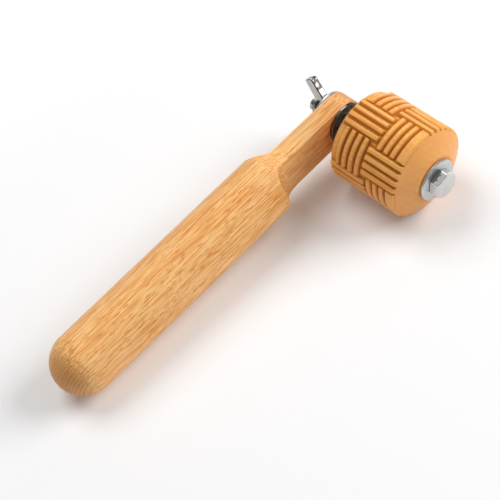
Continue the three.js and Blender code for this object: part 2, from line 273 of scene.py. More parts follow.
def skin(name, rows, closed=False):
    """Object through rows of points that each go once round. A closed skin joins its last row to
    its first, and an open one is capped by a point in the middle of each end row."""
    rows = np.asarray(rows, float)
    count, around = rows.shape[:2]
    points = rows.reshape(-1, 3)
    index = np.arange(count * around).reshape(count, around)
    upper = np.roll(index, -1, axis=0) if closed else index[1:]
    lower = index if closed else index[:-1]
    quads = [lower, np.roll(lower, -1, axis=1), np.roll(upper, -1, axis=1), upper]
    faces = np.stack(quads, axis=-1).reshape(-1, 4).tolist()
    if not closed:
        first, last = len(points), len(points) + 1
        points = np.vstack([points, rows[0].mean(axis=0), rows[-1].mean(axis=0)])
        for k in range(around):
            after = (k + 1) % around
            faces.append([first, int(index[0, after]), int(index[0, k])])
            faces.append([last, int(index[-1, k]), int(index[-1, after])])
    return new_object(name, points.tolist(), faces)


def full_turn(count):
    """Evenly spaced turns that go once round."""
    return np.linspace(0, 2 * math.pi, count, endpoint=False)


def ring_row(x, radius, turn):
    """Row of points round the X axis. Its radius may differ from turn to turn."""
    return np.stack([np.full_like(turn, x), radius * np.cos(turn), radius * np.sin(turn)], axis=-1)


def turned(profile, turn):
    """Rows of points of a body turned about the X axis, from [x, radius] points."""
    return [ring_row(x, radius, turn) for x, radius in profile]


def bar(name, radius, start, end):
    """Plain round bar along the X axis."""
    return skin(name, turned([[start, radius], [end, radius]], full_turn(HOLE_STEPS)))


def rounded(corners, radii, steps, closed=True):
    """Outline whose corners are eased, as points; each corner has its own rounding."""
    outline = []
    count = len(corners)
    for i, (corner, radius) in enumerate(zip(corners, radii)):
        corner = np.asarray(corner, float)
        if radius == 0 or (not closed and i in (0, count - 1)):
            outline.append(corner)
            continue
        back = np.asarray(corners[i - 1], float) - corner
        ahead = np.asarray(corners[(i + 1) % count], float) - corner
        start = corner + back / np.linalg.norm(back) * radius
        end = corner + ahead / np.linalg.norm(ahead) * radius
        for t in np.linspace(0, 1, steps):
            outline.append((1 - t) ** 2 * start + 2 * t * (1 - t) * corner + t**2 * end)
    return outline


def divided(outline, step):
    """The same outline with points added, so that none of its runs is longer than a step."""
    points = [np.asarray(outline[0], float)]
    for after in outline[1:]:
        before = points[-1]
        after = np.asarray(after, float)
        parts = max(1, math.ceil(np.linalg.norm(after - before) / step))
        points.extend(before + (after - before) * (k / parts) for k in range(1, parts + 1))
    return points


def softer(a, b, reach):
    """The smaller of two lengths, eased where they are nearly equal."""
    near = np.maximum(reach - np.abs(a - b), 0) / reach
    return np.minimum(a, b) - near**2 * reach / 4


def add_modifier(obj, kind, **settings):
    step = obj.modifiers.new(kind.title(), kind)
    for name, value in settings.items():
        setattr(step, name, value)
    return step


def bake(obj):
    """Turns an object's modifiers into its mesh."""
    graph = bpy.context.evaluated_depsgraph_get()
    graph.update()
    mesh = bpy.data.meshes.new_from_object(obj.evaluated_get(graph), depsgraph=graph)
    old = obj.data
    obj.modifiers.clear()
    obj.data = mesh
    bpy.data.meshes.remove(old)


def combine(base, other, operation):
    """Joins or cuts one mesh object by another, which is used up."""
    add_modifier(base, "BOOLEAN", operation=operation, solver="EXACT", object=other)
    bake(base)
    mesh = other.data
    bpy.data.objects.remove(other)
    bpy.data.meshes.remove(mesh)


def shade(obj, crease_degrees):
    """Smooth shading, with a crease wherever two faces meet at more than an angle."""
    mesh = obj.data
    mesh.shade_smooth()
    edge_faces = {}
    for face in mesh.polygons:
        for key in face.edge_keys:
            edge_faces.setdefault(key, []).append(face.index)
    normals = [face.normal.copy() for face in mesh.polygons]
    limit = math.cos(math.radians(crease_degrees))
    for edge in mesh.edges:
        pair = edge_faces.get(edge.key, [])
        if len(pair) == 2 and normals[pair[0]].dot(normals[pair[1]]) < limit:
            edge.use_edge_sharp = True


def on_bolt(obj, x, turn=0.0, flip=0.0):
    """Puts a piece made round X = 0 in its place on the bolt."""
    place = Matrix.Translation(Vector((x, BOLT_Y, BOLT_Z)))
    obj.data.transform(place @ Matrix.Rotation(turn, 4, "X") @ Matrix.Rotation(flip, 4, "Y"))


def finish_piece(obj, body, nodes, material):
    """Gives a piece its finish and the body it moves with, and hides the CAD nodes that it stands for.
    """
    obj.data.materials.clear()
    obj.data.materials.append(material)
    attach(obj, body)
    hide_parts(*nodes)


# Writing node trees


def feed(tree, node, values):
    """Gives inputs of a node their values: terms, sockets or plain values, colours in 3 parts."""
    for key, value in values.items():
        socket = node.inputs[key]
        if isinstance(value, Term):
            value = value.socket
        if isinstance(value, bpy.types.NodeSocket):
            tree.links.new(value, socket)
        elif socket.type == "RGBA":
            socket.default_value = (*value, 1.0)
        else:
            socket.default_value = value


def add_node(tree, kind, values, **settings):
    node = tree.nodes.new(kind)
    for name, value in settings.items():
        setattr(node, name, value)
    feed(tree, node, values)
    return node


class Term:
    """A number inside a node tree, which sums and comparisons can be written with."""

    def __init__(self, tree, socket):
        self.tree = tree
        self.socket = socket

    def do(self, operation, *others, clamp=False):
        values = dict(enumerate((self, *others)))
        node = add_node(self.tree, "ShaderNodeMath", values, operation=operation, use_clamp=clamp)
        return Term(self.tree, node.outputs[0])

    def __add__(self, other):
        return self.do("ADD", other)

    def __sub__(self, other):
        return self.do("SUBTRACT", other)

    def __mul__(self, other):
        return self.do("MULTIPLY", other)

    def __truediv__(self, other):
        return self.do("DIVIDE", other)

    def least(self, other):
        return self.do("MINIMUM", other)

    def most(self, other):
        return self.do("MAXIMUM", other)

    def abs(self):
        return self.do("ABSOLUTE")

    def limited(self):
        """This term, kept between zero and one."""
        return self.do("MULTIPLY", 1.0, clamp=True)

    def rest(self):
        """What is missing to one."""
        return self * -1.0 + 1.0

    def eased(self, low, high, to_low=0.0, to_high=1.0):
        """Goes smoothly from one value to another as this term goes from low to high."""
        values = {"Value": self, "From Min": low, "From Max": high, "To Min": to_low, "To Max": to_high}
        node = add_node(self.tree, "ShaderNodeMapRange", values, interpolation_type="SMOOTHSTEP")
        return Term(self.tree, node.outputs["Result"])

    def faded(self, low, high, top=1.0):
        """Falls smoothly to zero as this term goes from low to high."""
        return self.eased(low, high, top, 0.0)


def split_vector(tree, vector):
    """The three parts of a vector, as terms."""
    node = add_node(tree, "ShaderNodeSeparateXYZ", {0: vector})
    return [Term(tree, out) for out in node.outputs]


def join_vector(tree, *parts):
    return add_node(tree, "ShaderNodeCombineXYZ", dict(enumerate(parts))).outputs[0]


def toward(tree, vector, direction):
    """How far a vector goes in a fixed direction."""
    values = {0: vector, 1: direction}
    node = add_node(tree, "ShaderNodeVectorMath", values, operation="DOT_PRODUCT")
    return Term(tree, node.outputs["Value"])


def noise(tree, vector, scale, detail=2.0, roughness=0.5):
    values = {"Vector": vector, "Scale": scale, "Detail": detail, "Roughness": roughness}
    return Term(tree, add_node(tree, "ShaderNodeTexNoise", values).outputs["Fac"])


def blend(tree, amount, first, second):
    """Colour between two colours or colour sockets."""
    values = {0: amount, 6: first, 7: second}
    return add_node(tree, "ShaderNodeMix", values, data_type="RGBA").outputs[2]


def new_group(name, kind, inputs, outputs):
    """Node group with named inputs, which it gives as terms, and with its output node."""
    tree = bpy.data.node_groups.new(name, kind)
    for direction, sockets in (("INPUT", inputs), ("OUTPUT", outputs)):
        for label, socket in sockets.items():
            tree.interface.new_socket(label, in_out=direction, socket_type="NodeSocket" + socket)
    given = tree.nodes.new("NodeGroupInput")
    terms = {socket.name: Term(tree, socket) for socket in given.outputs}
    return tree, terms, tree.nodes.new("NodeGroupOutput")


# The carved weave


# The weave's inputs and the roller's settings that they take. Those without one are worked out
WEAVE_SIZES = {
    "Length": "length",
    "Core Radius": None,
    "Weave Depth": "depth",
    "Strip Top Width": "top_width",
    "Strip Foot Width": "foot_width",
    "Cross Pitch": "cross_pitch",
    "Cross Half Angle": "cross_half_angle",
    "Long Pitch": "long_pitch",
    "Long Reach": "long_reach",
    "Column Spacing": "column_spacing",
    "Column Offset": "column_offset",
    "Rim Inner Edge": None,
    "Cone Depth": "cone_depth",
    "Seat Radius": "seat_radius",
    "Hand Wander": "hand_wander",
    "End Drop": "end_drop",
    "Rear Shave": "rear_shave",
    "Rear Groove Depth": "rear_groove",
    "Line Inset": "line_inset",
    "Line Depth": "line_depth",
}

# How round the strips' tops are, how far their edges are eased, and how far their ends slope
STRIP_CROWN = 45.0
EDGE_EASE = 0.25 * MM
END_SLOPE = 0.45 * MM

# Half widths of the line in the front cone, at its floor and at its edges
LINE_FLOOR = 0.12 * MM
LINE_EDGE = 0.45 * MM

# How far outside and inside the arris the grooves' drop begins and ends
DROP_OUTSIDE = 1.5 * MM
DROP_INSIDE = 2.5 * MM

# How far inside the outermost rear strip's middle the rear slope begins
SHAVE_START = 1.2 * MM

# How many waves of the hand's wander fit in a metre
WANDER_SCALE = 170.0


def strip_height(across, width_top, width_foot, depth):
    """Height of a strip at a distance from its middle: a rounded top and steep flanks."""
    inner = width_top * 0.5 - EDGE_EASE
    outer = width_foot * 0.5
    crown = across * across * (-STRIP_CROWN)
    return across.faded(inner, outer) * (depth + crown)


def nearest_strip(place, pitch):
    """Distance to the middle of the nearest of four strips that are spaced by a pitch."""
    whole = (place / pitch - 0.5).do("ROUND")
    middle = (whole.least(1.0).most(-2.0) + 0.5) * pitch
    return (place - middle).abs()


def column_height(sizes, along, turn, end):
    """Height of one column of blocks over the core, and the distance to its nearest strip's middle.
    Its end is -1 at the handle, 1 at the head."""
    quarter = math.pi / 2
    middle = sizes["Length"] * 0.5 + sizes["Column Offset"]
    middle = middle + sizes["Column Spacing"] * (0.5 * end)
    place = along - middle
    shifted = turn if end < 0 else turn - math.pi / 4
    block = shifted - (shifted / quarter).do("ROUND") * quarter
    strip = (sizes["Strip Top Width"], sizes["Strip Foot Width"], sizes["Weave Depth"])
    radius = sizes["Core Radius"] + sizes["Weave Depth"]

    # Strips along the roller stop near the middle of its length
    beside_long = nearest_strip(block, sizes["Long Pitch"]) * radius
    lengthwise = strip_height(beside_long, *strip)
    reach = place * (-end)
    edge = sizes["Long Reach"]
    lengthwise = lengthwise * reach.faded(edge - END_SLOPE, edge + EDGE_EASE)

    # Strips round the roller, and the rim beside them
    beside_cross = nearest_strip(place, sizes["Cross Pitch"])
    crosswise = strip_height(beside_cross, *strip)
    from_end = along if end < 0 else sizes["Length"] - along
    slope = (sizes["Strip Foot Width"] - sizes["Strip Top Width"]) * 0.5
    inner = sizes["Rim Inner Edge"]
    rim = from_end.faded(inner - EDGE_EASE, inner + slope) * sizes["Weave Depth"]
    crosswise = crosswise.most(rim)
    if end < 0:
        # The groove beside the rear rim is shallow, and the wood slopes down to the arris there
        first = sizes["Cross Pitch"] * (-1.5)
        outside = place.faded(first, first + 0.02 * MM)
        floor = (sizes["Weave Depth"] - sizes["Rear Groove Depth"]) * outside
        inside = middle + first + SHAVE_START
        shave = from_end.faded(sizes["Cone Depth"], inside, sizes["Rear Shave"])
        crosswise = crosswise.most(floor) - shave
        # The groove beside the rear rim counts as wide, so it gets less painted shade
        beside_cross = beside_cross + outside * sizes["Cross Pitch"]
    else:
        # A thin line is cut in the front cone
        beside = (from_end - (sizes["Cone Depth"] - sizes["Line Inset"])).abs()
        rise = (radius - sizes["Seat Radius"]) / sizes["Cone Depth"]
        cone = sizes["Seat Radius"] + from_end * rise
        above = (radius - cone).most(0.0)
        line = beside.faded(LINE_FLOOR, LINE_EDGE, above + sizes["Line Depth"])
        crosswise = crosswise - line
    swept = (block.abs() * -1.0 + math.pi / 4) * radius
    limit = sizes["Cross Half Angle"] * radius
    crosswise = crosswise * swept.faded(limit - EDGE_EASE, limit + END_SLOPE)

    # The grooves are cut deeper where they run out over the cones
    arris = sizes["Cone Depth"]
    drop = from_end.faded(arris - DROP_OUTSIDE, arris + DROP_INSIDE)
    height = lengthwise.most(crosswise)
    height = height - drop * sizes["End Drop"] * (height / sizes["Weave Depth"]).rest()
    # Outside a block's strips the distance grows, so wide floors get less painted shade
    half = sizes["Strip Foot Width"] * 0.5
    beside_long = beside_long.most(reach - edge + half)
    beside_cross = beside_cross.most(swept - limit + half)
    return height, beside_long.least(beside_cross)


def weave_tree():
    """Node tree that presses the weave's grooves into a plain turned roller along X."""
    inputs = {"Roller": "Geometry", "Finish": "Material", **dict.fromkeys(WEAVE_SIZES, "Float")}
    tree, sizes, result = new_group("Carved Weave", "GeometryNodeTree", inputs, {"Roller": "Geometry"})
    position = tree.nodes.new("GeometryNodeInputPosition").outputs[0]
    along, y, z = split_vector(tree, position)
    turn = z.do("ARCTAN2", y)
    radius = (y * y + z * z).do("SQRT")
    rear, beside_rear = column_height(sizes, along, turn, -1)
    front, beside_front = column_height(sizes, along, turn, 1)
    wander = noise(tree, position, WANDER_SCALE, 3.0) - 0.5
    wander = wander * sizes["Hand Wander"] * 2.0
    kept = radius.least(sizes["Core Radius"] + rear.most(front) + wander)
    ratio = kept / radius.most(0.1 * MM)
    # The grooves are painted darker the deeper they are cut, most where they are narrow and less
    # on the wide floor where blocks meet: oil gathered there and painted shade
    narrow = sizes["Cross Pitch"] * 0.5
    beside = beside_rear.least(beside_front)
    oil_and_shade = beside.eased(narrow * 1.1, narrow * 1.6, to_low=1.0, to_high=0.3)
    cut = (radius - kept) / sizes["Weave Depth"] * oil_and_shade

    values = {"Geometry": sizes["Roller"], "Name": GROOVE, "Value": cut}
    kind = "GeometryNodeStoreNamedAttribute"
    marked = add_node(tree, kind, values, data_type="FLOAT", domain="POINT").outputs[0]
    values = {"Geometry": marked, "Position": join_vector(tree, along, y * ratio, z * ratio)}
    moved = add_node(tree, "GeometryNodeSetPosition", values).outputs[0]
    real = add_node(tree, "GeometryNodeRealizeInstances", {0: moved}).outputs[0]
    values = {"Geometry": real, "Material": sizes["Finish"]}
    finished = add_node(tree, "GeometryNodeSetMaterial", values).outputs[0]
    feed(tree, result, {0: finished})
    return tree


def carve_weave(obj, sizes, material):
    """Gives a turned roller its weave, as a plain mesh."""
    tree = weave_tree()
    step = add_modifier(obj, "NODES", node_group=tree)
    values = {name: getattr(sizes, setting) for name, setting in WEAVE_SIZES.items() if setting}
    values["Core Radius"] = sizes.radius - sizes.depth
    values["Rim Inner Edge"] = sizes.cone_depth + sizes.rim_width
    values["Finish"] = material
    for item in tree.interface.items_tree:
        if item.in_out == "INPUT" and item.name in values:
            step[item.identifier] = values[item.name]
    bake(obj)


# Wood and metal


# Three sizes of flecks: how many cells fit in a metre, how slowly they change along the grain,
# from where to where in its cell a fleck fades, and the share of cells that hold one
FLECK_SIZES = (
    (950.0, 0.2, 0.16, 0.46, 0.5),
    (760.0, 0.2, 0.12, 0.4, 0.3),
    (520.0, 0.22, 0.06, 0.3, 0.14),
)

END_GRAIN_SHADE = (0.30, 0.13, 0.04)
BLACK = (0.0, 0.0, 0.0)
WHITE = (1.0, 1.0, 1.0)


def beech_group():
    """Beech, with its grain along Y: rings, fibres, silky patches with a painted sheen and short brown
    dashes. It takes a place in metres, and how far the surface lies across the grain."""
    strengths = ("Ring Strength", "Fibre Strength", "Fleck Strength", "End Shade")
    numbers = ("End Grain", "Pith X", "Pith Z", "Ring Spacing", *strengths)
    inputs = {"Place": "Vector", **dict.fromkeys(("Pale", "Deep", "Fleck"), "Color")}
    inputs.update(dict.fromkeys(numbers, "Float"))
    outputs = {"Color": "Color", "Height": "Float", "Dark": "Float"}
    tree, given, result = new_group("Beech Grain", "ShaderNodeTree", inputs, outputs)
    x, y, z = split_vector(tree, given["Place"])
    across = given["End Grain"]

    def drawn_out(scale, detail, along, aside=1.0, roughness=0.5):
        """Noise drawn out along the grain, and aside if need be."""
        return noise(tree, join_vector(tree, x * aside, y * along, z), scale, detail, roughness)

    # Rings wander slowly along the grain, and vary in width
    drift = drawn_out(60.0, 2.0, along=0.12) - 0.5
    away_x = x - given["Pith X"]
    away_z = z - given["Pith Z"]
    depth = (away_x * away_x + away_z * away_z).do("SQRT") + drift * (3.0 * MM)
    uneven = noise(tree, join_vector(tree, depth, 0.0, 0.0), scale=330.0, detail=1.0) - 0.5
    part = (depth / given["Ring Spacing"] + uneven * 1.2).do("FRACT")
    ring = part.eased(0.25, 0.8) * part.faded(0.88, 1.0)

    fibre = drawn_out(1600.0, 1.0, along=0.04, roughness=0.7)
    streak = drawn_out(800.0, 2.0, along=0.035, roughness=0.7)
    tone = drawn_out(95.0, 2.0, along=0.2)

    # Rays show as short dashes, and as silky ripples where the surface lies along them; these
    # patches are painted paler, a painted sheen on the ray figure
    silk_figure_and_sheen = drawn_out(150.0, 2.0, along=0.3, aside=0.8).eased(0.52, 0.66)
    ripple = drawn_out(800.0, 1.0, along=0.9, aside=0.5) - 0.5
    spots = []
    for scale, stretch, small, large, share in FLECK_SIZES:
        values = {"Vector": join_vector(tree, x, y * stretch, z), "Scale": scale, "Randomness": 1.0}
        cells = add_node(tree, "ShaderNodeTexVoronoi", values)
        chance = add_node(tree, "ShaderNodeSeparateColor", {0: cells.outputs["Color"]})
        chosen = Term(tree, chance.outputs[0]).do("LESS_THAN", share)
        strength = Term(tree, chance.outputs[1]) * 0.75 + 0.25
        spot = Term(tree, cells.outputs["Distance"]).faded(small, large)
        spots.append(spot * chosen * strength)
    fading = drawn_out(70.0, 1.0, along=0.3).eased(0.4, 0.54)
    flecks = spots[0].most(spots[1]).most(spots[2])
    flecks = flecks * (fading * 0.75 + 0.25) * (across * -0.95 + 1.0)

    strength = given["Ring Strength"] * (across * 3.0 + 1.0)
    grain = streak - 0.5 + (fibre - 0.5) * 4.5
    grain = grain * (across * -0.85 + 1.0) + ripple * silk_figure_and_sheen * 1.5
    grain = grain * given["Fibre Strength"]
    # Silky patches are painted paler: a painted sheen
    deepness = ring * strength + grain + (tone - 0.5) * 0.9 + across * 0.02 - silk_figure_and_sheen * 0.1
    deepness = (deepness + 0.3).limited()
    amount = flecks * given["Fleck Strength"]
    coloured = blend(tree, deepness, given["Pale"], given["Deep"])
    coloured = blend(tree, amount, coloured, given["Fleck"])
    coloured = blend(tree, across * given["End Shade"], coloured, END_GRAIN_SHADE)
    height = fibre * 0.6 + streak * 0.3 - flecks * 0.25 - ring * 0.15
    dark = (amount + deepness * 0.4).limited()
    feed(tree, result, {"Color": coloured, "Height": height, "Dark": dark})
    return tree


def plate_group():
    """Handled plated steel: cloudy patches, fine scuffs and a faint unevenness."""
    inputs = {"Place": "Vector", "Grain Scale": "Float", "Cloud Scale": "Float"}
    outputs = dict.fromkeys(("Cloud", "Scuff", "Height"), "Float")
    tree, given, result = new_group("Plate Wear", "ShaderNodeTree", inputs, outputs)
    cloud = noise(tree, given["Place"], given["Cloud Scale"], detail=3.0)
    grain = noise(tree, given["Place"], given["Grain Scale"], detail=3.0, roughness=0.6)
    x, y, z = split_vector(tree, given["Place"])
    stretched = join_vector(tree, x, y * 0.08, z + y)
    scuff = noise(tree, stretched, scale=2200.0, roughness=0.7).eased(0.6, 0.74)
    height = grain * 0.6 + cloud * 0.8 - scuff * 0.4
    feed(tree, result, {"Cloud": cloud, "Scuff": scuff, "Height": height})
    return tree


def place_group(tree, name, make, values):
    """Adds a shared group, which is made when it is first used, and gives its outputs as terms."""
    group = bpy.data.node_groups.get(name) or make()
    node = add_node(tree, "ShaderNodeGroup", {}, node_tree=group)
    feed(tree, node, values)
    return {socket.name: Term(tree, socket) for socket in node.outputs}


def new_material(name):
    material = bpy.data.materials.new(name)
    material.use_nodes = True
    tree = material.node_tree
    shader = next(node for node in tree.nodes if node.type == "BSDF_PRINCIPLED")
    return material, tree, shader


def object_coordinate(tree, kind):
    return tree.nodes.new("ShaderNodeTexCoord").outputs[kind]


def across_grain(tree, grain, low, high):
    """How far the surface lies across a grain direction, from the object's own normals."""
    return toward(tree, object_coordinate(tree, "Normal"), grain).abs().eased(low, high)


def bumped(tree, height, distance, strength):
    """Normals of a surface that a height has made uneven."""
    values = {"Height": height, "Distance": distance, "Strength": strength}
    return add_node(tree, "ShaderNodeBump", values).outputs[0]


def beech(tree, middle, turn, values):
    """Place round a piece's middle, turned so that its grain runs along Y, and the beech there."""
    location = {"Location": -(turn @ middle), "Rotation": turn.to_euler()}
    location["Vector"] = object_coordinate(tree, "Object")
    place = add_node(tree, "ShaderNodeMapping", location, vector_type="POINT").outputs[0]
    return place, place_group(tree, "Beech Grain", beech_group, {"Place": place, **values})


def handle_material(finishes, tilt):
    """Sanded beech, whose tongue is painted a little darker than the grip."""
    material, tree, shader = new_material("handle_beech")
    values = {
        "Pale": finishes.handle_pale,
        "Deep": finishes.handle_deep,
        "Fleck": finishes.handle_fleck,
        "End Grain": across_grain(tree, (0, math.cos(tilt), math.sin(tilt)), low=0.3, high=0.75),
        "Pith X": -62 * MM,
        "Pith Z": 31 * MM,
        "Ring Spacing": 1.5 * MM,
        "Ring Strength": 0.22,
        "Fibre Strength": 1.0,
        "Fleck Strength": 0.85,
        "End Shade": 0.3,
    }
    middle = Vector((TONGUE_MIDDLE, BOLT_Y, BOLT_Z))
    place, grain = beech(tree, middle, Matrix.Rotation(-tilt, 3, "X"), values)
    # The tongue is painted a little darker than the grip
    tongue = split_vector(tree, place)[1].eased(-34 * MM, -24 * MM, to_high=0.1)
    looks = {
        "Base Color": blend(tree, tongue, grain["Color"], BLACK),
        "Roughness": grain["Dark"] * 0.14 + 0.5,
        "Specular IOR Level": 0.35,
        "Normal": bumped(tree, grain["Height"], distance=0.04 * MM, strength=0.4),
    }
    feed(tree, shader, looks)
    return material


def roller_material(finishes):
    """Oiled beech, painted darker in the grooves, for oil and as painted shade, and darker where the
    cones have soaked up oil, in patches.
    """
    material, tree, shader = new_material("roller_beech")
    ends = across_grain(tree, (1, 0, 0), low=0.3, high=1.0)
    values = {
        "Pale": finishes.roller_pale,
        "Deep": finishes.roller_deep,
        "Fleck": finishes.roller_fleck,
        "End Grain": ends,
        "Pith X": 60 * MM,
        "Pith Z": -30 * MM,
        "Ring Spacing": 3.2 * MM,
        "Ring Strength": 0.05,
        "Fibre Strength": 0.45,
        "Fleck Strength": 0.2,
        "End Shade": 0.1,
    }
    turn = Matrix.Rotation(math.pi / 2, 3, "Z")
    place, grain = beech(tree, Vector((0, BOLT_Y, BOLT_Z)), turn, values)
    # The mark holds how dark each groove is painted: oil and painted shade
    cut = add_node(tree, "ShaderNodeAttribute", {}, attribute_name=GROOVE)
    groove = Term(tree, cut.outputs["Fac"]).eased(0.1, 0.9)
    groove = (groove * (grain["Height"] * 0.3 + 0.75)).limited()
    patches = noise(tree, place, scale=300.0, detail=3.0)
    soaked = patches.eased(0.4, 0.6, to_low=0.15, to_high=0.9) * ends
    coloured = blend(tree, soaked, grain["Color"], finishes.soaked)
    looks = {
        "Base Color": blend(tree, groove, coloured, finishes.groove),
        "Roughness": grain["Dark"] * 0.12 + groove * 0.1 + 0.4,
        "Specular IOR Level": 0.45,
        "Normal": bumped(tree, grain["Height"], distance=0.04 * MM, strength=0.4),
    }
    feed(tree, shader, looks)
    return material


def plate_wear(tree, grain):
    """Place on a plated piece and the wear there, of a grain that fits so often in a metre."""
    place = object_coordinate(tree, "Object")
    values = {"Place": place, "Grain Scale": grain, "Cloud Scale": 330.0}
    return place, place_group(tree, "Plate Wear", plate_group, values)


def zinc_material(finishes, name, paleness, scuff):
    """Bright zinc plate, which its scuffs make rougher."""
    material, tree, shader = new_material(name)
    _, wear = plate_wear(tree, 2100.0)
    cloud = wear["Cloud"].eased(0.36, 0.66)
    pale = [part * paleness for part in finishes.zinc]
    dull = [part * paleness * (1 - 0.8 * scuff) for part in finishes.zinc]
    looks = {
        "Base Color": blend(tree, (cloud * 0.5 + wear["Scuff"] * 0.9).limited(), pale, dull),
        "Metallic": 1.0,
        "Roughness": cloud * 0.06 + wear["Scuff"] * scuff + 0.09,
        "Normal": bumped(tree, wear["Height"], distance=0.05 * MM * scuff, strength=0.5),
    }
    feed(tree, shader, looks)
    return material


def cast_material(finishes, lean):
    """Cast zinc: satin on the wings' flat faces and polished by handling on their edges. The
    arrises are painted dark, a painted reflection, and so are a few patches on the edges."""
    material, tree, shader = new_material("cast_zinc")
    place, wear = plate_wear(tree, 1500.0)
    axis = (0, math.cos(lean), -math.sin(lean))
    face = across_grain(tree, axis, low=0.93, high=0.99)
    # The arrises are painted dark: a painted reflection of the dark room that their rounding mirrors
    arris = across_grain(tree, axis, low=0.8, high=0.95).rest()
    arris = across_grain(tree, axis, low=0.25, high=0.5) * arris
    marks = noise(tree, place, scale=330.0, detail=1.0).eased(0.54, 0.6) * face.rest()
    dull = [part * 0.85 for part in finishes.cast_zinc]
    tint = blend(tree, wear["Cloud"].eased(0.3, 0.7), finishes.cast_zinc, dull)
    uneven = noise(tree, place, scale=420.0, detail=1.0) * face.rest() * 4.0
    looks = {
        "Base Color": blend(tree, arris.most(marks) * 0.85, tint, finishes.arris_reflection_and_marks),
        "Metallic": 1.0,
        "Roughness": face * 0.3 + (wear["Cloud"] - 0.5) * 0.12 + 0.15,
        "Normal": bumped(tree, wear["Height"] + uneven, distance=0.06 * MM, strength=0.7),
    }
    feed(tree, shader, looks)
    return material


# Handle


# How steeply the side scoops' flanks would rise past their arrises, for each length along the grip
RISE_PAST_SCOOP = 2.5


def handle_tilt(sizes):
    """Tilt that lets the roller and the handle's round end both rest on the table."""
    to_end = sizes.length - sizes.tongue_height / 2 - sizes.radius
    return math.asin((BOLT_Z - sizes.radius) / to_end)


def scooped(flat, start, radius, y):
    """Half the handle's width at a place along it, from the flat tongue to the end of a scoop."""
    inside = np.clip(-y - start, 0, radius)
    return flat + radius - np.sqrt(radius**2 - inside**2)


def handle_rows(sizes):
    """Rows of points from the tongue's tip to the round end, in the handle's own place: X
    across, Y towards the tip, Z up, round the bolt's axis."""
    tip = sizes.tongue_height / 2
    flat = sizes.tongue_thickness / 2
    soft = sizes.softening
    corner = math.atan2(tip, flat)
    near_corner = np.radians(np.arange(-4.5, 4.6, 0.9))
    turn = list(full_turn(HANDLE_STEPS))
    for middle in (corner, math.pi - corner, math.pi + corner, -corner % (2 * math.pi)):
        turn.extend(middle + near_corner)
    turn = np.unique(np.round(np.mod(turn, 2 * math.pi), 4))
    turn = turn[np.insert(np.diff(turn) > math.radians(0.35), 0, True)]
    across, up = np.cos(turn), np.sin(turn)
    rows = []

    # The round tip, seen along rays from the bolt's axis
    for rise in np.radians(np.linspace(88.5, 2, 34)):
        level, ahead = math.cos(rise), math.sin(rise)
        to_side = flat / np.maximum(np.abs(across) * level, TINY)
        to_tip = tip / np.hypot(up * level, ahead)
        far = softer(to_side, to_tip, soft)
        rows.append((across * level * far, ahead * far, up * level * far))

    # The tongue, the scoops and the grip, ring by ring, with rings close behind the scoops' arrises
    scoop_end = -sizes.side_scoop_start - sizes.side_scoop_radius
    grip_end = tip - sizes.length + sizes.radius
    scoop_turn = np.radians(np.linspace(0, 90, 40))
    close_behind = np.array([0.05, 0.12, 0.25, 0.45, 0.7, 1.0, 1.5, 2.2]) * MM
    stations = np.concatenate(
        [
            np.linspace(0, -sizes.top_scoop_start, 26),
            np.linspace(-sizes.top_scoop_start, -sizes.side_scoop_start, 8),
            -sizes.side_scoop_start - sizes.side_scoop_radius * np.sin(scoop_turn),
            scoop_end - close_behind,
            np.linspace(scoop_end - 3 * MM, grip_end, 60),
        ]
    )
    stations = np.unique(np.round(stations, 7))[::-1]
    for y in stations:
        half_thickness = scooped(flat, sizes.side_scoop_start, sizes.side_scoop_radius, y)
        half_thickness += RISE_PAST_SCOOP * max(scoop_end - y, 0)
        half_height = scooped(tip, sizes.top_scoop_start, sizes.top_scoop_radius, y)
        to_side = half_thickness / np.maximum(np.abs(across), TINY)
        to_top = half_height / np.maximum(np.abs(up), TINY)
        far = softer(softer(to_side, to_top, soft), sizes.radius, soft)
        rows.append((across * far, y, up * far))

    # The round end
    for fall in np.radians(np.linspace(3, 88.5, 30)):
        ring = math.cos(fall) * sizes.radius
        rows.append((across * ring, grip_end - math.sin(fall) * sizes.radius, up * ring))
    return [np.stack(np.broadcast_arrays(*row), axis=-1) for row in rows]


class CLAYWHEEL_OT_handle(bpy.types.Operator):
    """Turned beech handle with its scooped tongue and the bore for the bolt"""

    bl_idname = "clay_wheel.handle"
    bl_label = "Handle"

    def execute(self, context):
        scene = context.scene
        sizes = scene.clay_wheel_handle
        tilt = handle_tilt(sizes)
        obj = skin("beech_handle", handle_rows(sizes))
        reach = sizes.tongue_thickness
        combine(obj, bar("bore", sizes.bore, -reach, reach), "DIFFERENCE")
        on_bolt(obj, TONGUE_MIDDLE, tilt)
        shade(obj, crease_degrees=40)
        material = handle_material(scene.clay_wheel_finishes, tilt)
        finish_piece(obj, "handle", ["handle"], material)
        return {"FINISHED"}


# Roller


# How finely the roller's cones are divided where they are plain, and where grooves cross them
COARSE_STEP = 1.5 * MM
FINE_STEP = 0.25 * MM


def cone_points(sizes):
    """Outline of the roller's rear end, from the seat to the body, as [x, radius] points."""
    arris = [sizes.cone_depth, sizes.radius]
    corners = [[0, sizes.seat_radius], arris, [3 * sizes.cone_depth, sizes.radius]]
    return rounded(corners, [0, sizes.arris_round, 0], 7, closed=False)[:-1]


def strip_lines(middle, pitch):
    """Lines across one strip's pitch, gathered where its flanks are steep."""
    offsets = np.array([0.27, 0.42, 0.52, 0.6, 0.68, 0.76, 0.85]) / 2 * pitch
    return middle + np.concatenate([-offsets[::-1], [0], offsets])


def block_lines(middle, pitch):
    """Lines across the four strips of a block."""
    return [strip_lines(middle + (k - 1.5) * pitch, pitch) for k in range(4)]


def spaced(values, least):
    """The sorted values without those that lie too near the one before."""
    kept = [values[0]]
    for value in values[1:]:
        if value - kept[-1] >= least:
            kept.append(value)
    return np.array(kept)


